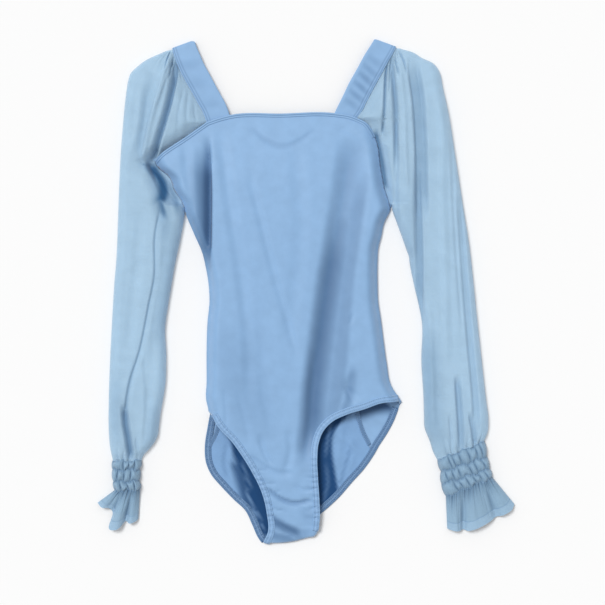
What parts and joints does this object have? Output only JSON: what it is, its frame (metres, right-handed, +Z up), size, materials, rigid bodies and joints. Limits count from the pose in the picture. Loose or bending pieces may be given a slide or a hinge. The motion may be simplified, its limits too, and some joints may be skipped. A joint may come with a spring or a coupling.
{
  "type": "leotard",
  "caption": "Leotard with a square neckline, wide straps and sheer puff sleeves with shirred, ruffled cuffs, laid flat on its back.",
  "frame": {"origin": "middle of the garment's footprint, on the surface that it lies on", "axes": "+Y towards the neckline, +X towards the sleeve on the picture's right, +Z up from the surface"},
  "size_m": [0.5644, 0.682, 0.0235],
  "materials": {
    "body_knit": "satin",
    "sheer_mesh": "matte",
    "trim_knit": "satin"
  },
  "bodies": {
    "root": {"front_panel": "body_knit", "back_panel": "body_knit", "strap_left": "body_knit", "strap_right": "body_knit", "sleeve_left": "sheer_mesh", "sleeve_right": "sheer_mesh", "cuff_left": "sheer_mesh", "cuff_right": "sheer_mesh", "neck_binding_front": "trim_knit", "neck_binding_back": "trim_knit", "leg_hem_left_front": "trim_knit", "leg_hem_left_back": "trim_knit", "leg_hem_right_front": "trim_knit", "leg_hem_right_back": "trim_knit"}
  },
  "joints": []
}
